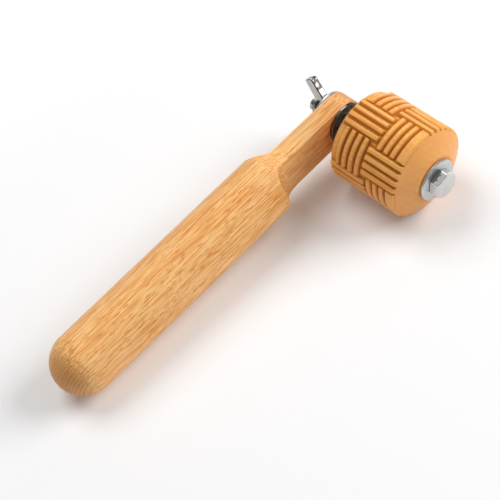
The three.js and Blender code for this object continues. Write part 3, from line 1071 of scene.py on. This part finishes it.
def roller_lines(sizes):
    """Places along the roller and turns round it that its surface passes through."""
    half = sizes.length / 2 + sizes.column_offset
    # Where the columns meet, at the rims' inner edges and just inside the arrises
    along = [half + np.linspace(-3, 3, 25) * MM]
    rim = sizes.cone_depth + sizes.rim_width + np.linspace(-0.5, 0.9, 8) * MM
    out = sizes.cone_depth + np.array([0.5, 0.8, 1.1, 1.4]) * MM
    for end in (-1, 1):
        along.extend(block_lines(half + end * sizes.column_spacing / 2, sizes.cross_pitch))
        along.extend((rim, out) if end < 0 else (sizes.length - rim, sizes.length - out))
    along = np.unique(np.round(np.concatenate(along), 6))
    # Where a block ends and the next one begins
    between = math.pi / 8 + np.radians(np.linspace(-2.7, 2.7, 9))
    turns = []
    for block in range(8):
        middle = block * math.pi / 4
        turns.extend(block_lines(middle, sizes.long_pitch))
        turns.append(middle + between)
    turns = np.unique(np.round(np.mod(np.concatenate(turns), 2 * math.pi), 5))
    return spaced(along, 0.16 * MM), spaced(turns, math.radians(0.42))


def roller_rows(sizes):
    """Rows of the plain turned roller in its own place, X from the rear seat. Its cones are
    finely divided where the weave's grooves run out over them."""
    along, turns = roller_lines(sizes)
    bore, chamfer, gap = sizes.bore, 0.5 * MM, 0.2 * MM
    seat = [[0, bore + chamfer], [0, sizes.seat_radius * 0.7], [0, sizes.seat_radius - gap]]
    cone = cone_points(sizes)
    slope = (sizes.radius - sizes.seat_radius) / sizes.cone_depth
    reached = sizes.radius - sizes.depth - sizes.end_drop - 0.4 * MM
    grooved = np.array([(reached - sizes.seat_radius) / slope, reached])
    plain = divided([cone[0], grooved], COARSE_STEP)
    fine = divided([grooved, cone[1]], FINE_STEP)[1:]
    start = [*seat, *plain, *fine, *cone[2:]]
    first, last = start[-1][0] + gap, sizes.length - start[-1][0] - gap
    body = [[x, sizes.radius] for x in along if first < x < last]
    end = [[sizes.length - x, radius] for x, radius in start[::-1]]
    inside = [[sizes.length - chamfer, bore], [sizes.length / 2, bore], [chamfer, bore]]
    return turned([*start, *body, *end, *inside], turns)


class CLAYWHEEL_OT_roller(bpy.types.Operator):
    """Oiled beech roller, turned and then carved with a basket weave"""

    bl_idname = "clay_wheel.roller"
    bl_label = "Roller"

    def execute(self, context):
        scene = context.scene
        sizes = scene.clay_wheel_roller
        material = roller_material(scene.clay_wheel_finishes)
        obj = skin("carved_roller", roller_rows(sizes), closed=True)
        carve_weave(obj, sizes, material)
        on_bolt(obj, node_start("texture_roller"), sizes.phase)
        obj.data.shade_smooth()
        finish_piece(obj, "roller", ["texture_roller"], material)
        return {"FINISHED"}


# Bolt, nut and washers


# Shares of the thread's pitch that its crest and its two flanks take
THREAD_CREST = 0.14
THREAD_FLANKS = 0.72

# Depth of the chamfers of the bolt's rod. The one under the head is sunk in the head
ROD_CHAMFER = 0.9 * MM

# How far a hexagon's corners are cut back and eased, and how far its chamfer's edge is eased
CORNER_CUT = 0.06 * MM
CORNER_EASE = 0.3 * MM
CHAMFER_EASE = 0.12 * MM


def hexagon_rows(width, profile):
    """Rows of a hexagonal body along X. Each profile point holds x and the chamfer cone's radius
    there, which limits the hexagon. Corners are eased a little."""
    turn = full_turn(HEXAGON_STEPS)
    from_flat = np.mod(turn, math.pi / 3) - math.pi / 6
    flats = width / 2 / np.cos(from_flat)
    corner = width / 2 / math.cos(math.pi / 6)
    flats = softer(flats, corner - CORNER_CUT, CORNER_EASE)
    return [ring_row(x, softer(flats, cone, CHAMFER_EASE), turn) for x, cone in profile]


def chamfer_run(width, height):
    """Profile points of a chamfered end of a hexagonal body, from its flank to its face."""
    corner = width / 2 / math.cos(math.pi / 6)
    slope = math.tan(math.radians(30))
    run = (corner - width / 2) * slope
    clear = corner + 0.4 * MM
    points = [[height - run * 1.3, clear]]
    for t in np.linspace(0, 1, CHAMFER_ROWS):
        x = height - run * (1 - t)
        points.append([x, corner - (corner - width / 2) * t + 0.02 * MM])
    points.append([height, width / 2 - 0.25 * MM])
    return points


def thread_rows(sizes, start, end):
    """Rows of a threaded rod along X whose ends are chamfered."""
    step = sizes.thread_pitch / PITCH_ROWS
    turn = full_turn(THREAD_STEPS)
    rows = []
    for x in np.arange(start, end + step / 2, step):
        phase = np.mod(x / sizes.thread_pitch - turn / (2 * math.pi), 1)
        flank = np.clip((np.abs(phase - 0.5) * 2 - THREAD_CREST) / THREAD_FLANKS, 0, 1)
        eased = flank * flank * (3 - 2 * flank)
        chamfer = sizes.bolt_radius - ROD_CHAMFER + min(x - start, end - x)
        radius = np.minimum(sizes.bolt_radius - sizes.thread_depth * eased, chamfer)
        rows.append(ring_row(x, radius, turn))
    return rows


# How pale the zinc of each place is, and how scuffed: on the washers and the nut, on the head
# where spanners have scuffed it, and on the washer between the tongue and the roller, which is
# painted dark as the painted reflection of the shaded gap that it mirrors
ZINC_FINISHES = {
    "bright_zinc": (1.0, 0.07),
    "scuffed_zinc": (1.06, 0.16),
    "painted_shade_zinc": (0.27, 0.03),
}


def zinc_finish(scene, name):
    made = bpy.data.materials.get(name)
    return made or zinc_material(scene.clay_wheel_finishes, name, *ZINC_FINISHES[name])


class CLAYWHEEL_OT_bolt(bpy.types.Operator):
    """Hexagon head bolt with its thread"""

    bl_idname = "clay_wheel.bolt"
    bl_label = "Bolt"

    def execute(self, context):
        scene = context.scene
        sizes = scene.clay_wheel_fasteners
        width = sizes.hexagon
        under, ease = 0.3 * MM, 0.12 * MM
        profile = [[0, width / 2 - under], [ease, width / 2 + ease], [under, width]]
        profile.extend(chamfer_run(width, sizes.head_height))
        profile.append([sizes.head_height, width * 0.3])
        head = skin("hex_head_bolt", hexagon_rows(width, profile))
        rod = skin("rod", thread_rows(sizes, -sizes.bolt_length, ROD_CHAMFER))
        combine(head, rod, "UNION")
        on_bolt(head, node_end("hex_bolt") - sizes.head_height, sizes.head_turn)
        shade(head, crease_degrees=30)
        finish_piece(head, "handle", ["hex_bolt"], zinc_finish(scene, "scuffed_zinc"))
        return {"FINISHED"}


class CLAYWHEEL_OT_nut(bpy.types.Operator):
    """Hexagon nut that locks the bolt to the tongue"""

    bl_idname = "clay_wheel.nut"
    bl_label = "Nut"

    def execute(self, context):
        scene = context.scene
        sizes = scene.clay_wheel_fasteners
        height, bore, chamfer = sizes.nut_height, sizes.nut_bore, 0.5 * MM
        upper = chamfer_run(sizes.hexagon, height)
        lower = [[height - x, cone] for x, cone in upper[::-1]]
        outer = hexagon_rows(sizes.hexagon, [*lower, *upper])
        mouth = bore + chamfer
        inside = [[height, mouth], [height - chamfer, bore], [chamfer, bore], [0, mouth]]
        rows = [*outer, *turned(inside, full_turn(HEXAGON_STEPS))]
        obj = skin("lock_nut", rows, closed=True)
        on_bolt(obj, node_start("hex_nut"), sizes.nut_turn)
        shade(obj, crease_degrees=30)
        finish_piece(obj, "handle", ["hex_nut"], zinc_finish(scene, "bright_zinc"))
        return {"FINISHED"}


def washer(name, sizes, around):
    """Stamped washer: its outer edge is rounded on the side that the die pressed."""
    inner, outer, height = sizes.washer_bore, sizes.washer_radius, sizes.washer_height
    corners = [[0, inner], [0, outer], [height, outer], [height, inner]]
    outline = rounded(corners, [0.3 * MM, 0.3 * MM, 0.55 * MM, 0.35 * MM], 6)
    return skin(name, turned(outline, full_turn(around)), closed=True)


class CLAYWHEEL_OT_washers(bpy.types.Operator):
    """Three large washers: under the bolt's head and on both sides of the tongue"""

    bl_idname = "clay_wheel.washers"
    bl_label = "Washers"

    def execute(self, context):
        scene = context.scene
        sizes = scene.clay_wheel_fasteners
        around = scene.clay_wheel_stage.around
        for name, node, body, finish in (
            ("washer_at_head", "head_washer", "head_washer", "bright_zinc"),
            # This washer's zinc is painted dark: painted shade of the gap that it mirrors
            ("washer_at_nut", "tongue_washer_inner", "handle", "painted_shade_zinc"),
            ("washer_at_wing_nut", "tongue_washer_outer", "outer_washer", "bright_zinc"),
        ):
            obj = washer(name, sizes, around)
            on_bolt(obj, node_start(node))
            shade(obj, crease_degrees=30)
            finish_piece(obj, body, [node], zinc_finish(scene, finish))
        return {"FINISHED"}


# Wing nut


def wing_outline(sizes, root):
    """One wing seen from its side, as points: out from the bolt's axis, up from the washer."""
    reach = sizes.spread / 2
    tip = [reach, sizes.foot_height + (reach - sizes.foot_radius) * math.tan(sizes.low_flare)]
    crest = root + (sizes.height - sizes.root_high) / math.tan(sizes.high_flare)
    corners = [
        [root, sizes.foot_height],
        [sizes.foot_radius, sizes.foot_height],
        tip,
        [crest + sizes.crest, sizes.height],
        [crest, sizes.height],
        [root, sizes.root_high],
    ]
    return rounded(corners, [0, 0, sizes.tip_round, sizes.crest * 0.45, sizes.crest * 0.45, 0], 7)


def plate(name, outline, thickness):
    """Flat plate of an outline in the XY plane."""
    count = len(outline)
    points = [(x, y, side * thickness / 2) for side in (-1, 1) for x, y in outline]
    faces = [list(range(count))[::-1], list(range(count, 2 * count))]
    faces += [[k, (k + 1) % count, (k + 1) % count + count, k + count] for k in range(count)]
    return new_object(name, points, faces)


class CLAYWHEEL_OT_wing_nut(bpy.types.Operator):
    """Cast wing nut that clamps the bolt to the tongue"""

    bl_idname = "clay_wheel.wing_nut"
    bl_label = "Wing Nut"

    def execute(self, context):
        scene = context.scene
        sizes = scene.clay_wheel_wing_nut
        bore = scene.clay_wheel_fasteners.nut_bore
        top = sizes.hub_height
        hub_corners = [[0, 0], [0, sizes.hub_base], [top, sizes.hub_top], [top, 0]]
        hub_outline = rounded(hub_corners, [0, 0.5 * MM, 0.6 * MM, 0], 6)[1:-1]
        obj = skin("cast_wing_nut", turned(hub_outline, full_turn(HOLE_STEPS)))
        root = bore - 0.7 * MM
        outline = wing_outline(sizes, root)
        bevel = {"width": sizes.cast_rounding, "segments": 6, "limit_method": "ANGLE"}
        # The outline's X goes up or down, its Y away from the washer
        stand = Matrix(((0, 1, 0), (0, 0, 1), (1, 0, 0))).to_4x4()
        for turn in (0, math.pi):
            wing = plate("wing", outline, sizes.thickness)
            add_modifier(wing, "BEVEL", angle_limit=math.radians(50), **bevel)
            bake(wing)
            wing.data.transform(Matrix.Rotation(turn, 4, "X") @ stand)
            combine(obj, wing, "UNION")
        # Casting has melted the hub and the wings into one
        add_modifier(obj, "REMESH", mode="VOXEL", voxel_size=0.19 * MM)
        add_modifier(obj, "SMOOTH", factor=0.5, iterations=5)
        bake(obj)
        mouth = [[-1 * MM, bore], [top - 0.4 * MM, bore], [top + 0.6 * MM, bore + 1.0 * MM]]
        combine(obj, skin("mouth", turned(mouth, full_turn(HOLE_STEPS))), "DIFFERENCE")
        on_bolt(obj, node_end("wing_nut"), -sizes.lean, math.pi)
        shade(obj, crease_degrees=45)
        material = cast_material(scene.clay_wheel_finishes, sizes.lean)
        finish_piece(obj, "wing_nut", ["wing_nut"], material)
        return {"FINISHED"}


# Stage


# Bright windows that show only in reflections: the direction of each, the cosine to it where its
# light begins, and how bright it is. Their light is full from the core's cosine on
WINDOW_CORE = 0.98
WINDOWS = (
    ((0.64, 0.66, 0.39), 0.94, 2.1),
    ((-0.58, 0.38, 0.72), 0.93, 3.0),
    ((-0.36, -0.1, 0.93), 0.87, 0.5),
)

FLOOR_REACH = 4.0
LAMP_SIZE = 1.35
LAMP_TARGET = Vector((0, 0.02, 0))

# The photograph's camera, as its outlines give it: the lens in pixels of a picture so wide, the
# camera's angles, a point on the table under the bolt, and how far to the right of the camera,
# above it and ahead of it that point is
FOCAL_PIXELS = 1650
PICTURE_PIXELS = 500
SENSOR_WIDTH = 36.0
CAMERA_AZIMUTH = math.radians(57.3356)
CAMERA_ELEVATION = math.radians(53.0583)
CAMERA_ROLL = math.radians(-15.5918)
TABLE_POINT = Vector((-10.125 * MM, BOLT_Y, -0.005 * MM))
POINT_FROM_CAMERA = Vector((58.6509377, 44.4084079, 834.843588)) * MM


def floor_material(settings):
    """White paint that a camera sees nearer to white, and white far off, with the shadows kept."""
    material, tree, shader = new_material("studio_floor")
    ray = tree.nodes.new("ShaderNodeLightPath")
    x, y, _ = split_vector(tree, object_coordinate(tree, "Object"))
    away = (x * x + y * y).do("SQRT")
    lift = away.eased(0.13, 0.75, to_low=settings.floor_lift, to_high=0.95)
    seen = Term(tree, ray.outputs["Is Camera Ray"]) * lift
    mirrored = Term(tree, ray.outputs["Is Glossy Ray"]) * settings.floor_lift
    looks = {
        "Base Color": settings.floor,
        "Roughness": 0.9,
        "Specular IOR Level": 0.0,
        "Emission Color": WHITE,
        "Emission Strength": seen + mirrored,
    }
    feed(tree, shader, looks)
    return material


def room_world(level):
    """Even white room: it lights at a level, is white to the camera, and has windows."""
    world = bpy.data.worlds.new("Room")
    world.use_nodes = True
    tree = world.node_tree
    background = next(node for node in tree.nodes if node.type == "BACKGROUND")
    ray = tree.nodes.new("ShaderNodeLightPath")
    direction = object_coordinate(tree, "Generated")
    glossy = Term(tree, ray.outputs["Is Glossy Ray"])
    through = Term(tree, ray.outputs["Is Transmission Ray"])
    camera = Term(tree, ray.outputs["Is Camera Ray"]).most(through)
    room = split_vector(tree, direction)[2].eased(0.0, 0.7, to_low=0.3, to_high=0.13)
    for middle, begins, brightness in WINDOWS:
        room = room + toward(tree, direction, middle).eased(begins, WINDOW_CORE, to_high=brightness)
    strength = glossy * (room - level) + level
    strength = camera * strength.rest() + strength
    feed(tree, background, {"Color": WHITE, "Strength": strength})
    return world


def camera_matrix():
    """Place and direction of the camera, seen from above the bolt's head and to one side."""
    level = Vector((math.cos(CAMERA_AZIMUTH), math.sin(CAMERA_AZIMUTH), 0))
    flat = Vector((-math.sin(CAMERA_AZIMUTH), math.cos(CAMERA_AZIMUTH), 0))
    forward = flat * math.cos(CAMERA_ELEVATION) - Vector((0, 0, math.sin(CAMERA_ELEVATION)))
    upright = level.cross(forward)
    right = math.cos(CAMERA_ROLL) * level + math.sin(CAMERA_ROLL) * upright
    up = -math.sin(CAMERA_ROLL) * level + math.cos(CAMERA_ROLL) * upright
    aside, above, ahead = POINT_FROM_CAMERA
    place = TABLE_POINT - (right * aside + up * above + forward * ahead)
    axes = Matrix((right, up, -forward)).transposed()
    return Matrix.Translation(place) @ axes.to_4x4()


def soft_lamp(name, place, power):
    """Large round lamp aimed at the wheel, which doesn't show in reflections."""
    data = bpy.data.lights.new(name, "AREA")
    data.shape = "DISK"
    data.size = LAMP_SIZE
    data.energy = power
    lamp = bpy.data.objects.new(name, data)
    lamp.location = place
    lamp.rotation_euler = (LAMP_TARGET - Vector(place)).to_track_quat("-Z", "Y").to_euler()
    lamp.visible_glossy = False
    bpy.context.scene.collection.objects.link(lamp)


class CLAYWHEEL_OT_stage(bpy.types.Operator):
    """Floor, room light, softboxes and camera"""

    bl_idname = "clay_wheel.stage"
    bl_label = "Stage"

    def execute(self, context):
        scene = context.scene
        settings = scene.clay_wheel_stage
        corners = ((-1, -1), (1, -1), (1, 1), (-1, 1))
        points = [(x * FLOOR_REACH, y * FLOOR_REACH, 0) for x, y in corners]
        floor = new_object("floor", points, [[0, 1, 2, 3]])
        floor.data.materials.append(floor_material(settings))
        scene.world = room_world(settings.sky)
        soft_lamp("front_softbox", place=(0.82, 1.44, 1.15), power=settings.key)
        soft_lamp("back_softbox", place=(-1.0, 0.02, 1.73), power=settings.fill)
        data = bpy.data.cameras.new("camera")
        data.sensor_width = SENSOR_WIDTH
        data.lens = FOCAL_PIXELS / PICTURE_PIXELS * SENSOR_WIDTH
        data.clip_start, data.clip_end = 0.05, 20.0
        camera = bpy.data.objects.new("camera", data)
        camera.matrix_world = camera_matrix()
        scene.collection.objects.link(camera)
        scene.camera = camera
        scene.view_settings.view_transform = "Standard"
        return {"FINISHED"}


class CLAYWHEEL_PT_panel(bpy.types.Panel):
    """Lists the pieces of the wheel"""

    bl_idname = "CLAYWHEEL_PT_panel"
    bl_label = "Clay Texture Wheel"
    bl_space_type = "VIEW_3D"
    bl_region_type = "UI"
    bl_category = "Clay Wheel"

    def draw(self, context):
        column = self.layout.column(align=True)
        for operator in OPERATORS:
            column.operator(operator.bl_idname)
        for name, group in GROUPS.items():
            box = self.layout.box()
            box.label(text=name.replace("_", " ").title())
            for key in group.__annotations__:
                box.prop(getattr(context.scene, name), key)


OPERATORS = (
    CLAYWHEEL_OT_stage,
    CLAYWHEEL_OT_handle,
    CLAYWHEEL_OT_roller,
    CLAYWHEEL_OT_bolt,
    CLAYWHEEL_OT_nut,
    CLAYWHEEL_OT_washers,
    CLAYWHEEL_OT_wing_nut,
)


def register():
    for cls in (*GROUPS.values(), *OPERATORS, CLAYWHEEL_PT_panel):
        bpy.utils.register_class(cls)
    for name, group in GROUPS.items():
        setattr(bpy.types.Scene, name, PointerProperty(type=group))


def unregister():
    for name in GROUPS:
        delattr(bpy.types.Scene, name)
    for cls in reversed((*GROUPS.values(), *OPERATORS, CLAYWHEEL_PT_panel)):
        bpy.utils.unregister_class(cls)


def main():
    register()
    bpy.ops.clay_wheel.stage()
    bpy.ops.clay_wheel.handle()
    bpy.ops.clay_wheel.roller()
    bpy.ops.clay_wheel.bolt()
    bpy.ops.clay_wheel.nut()
    bpy.ops.clay_wheel.washers()
    bpy.ops.clay_wheel.wing_nut()


if __name__ == "__main__":
    main()
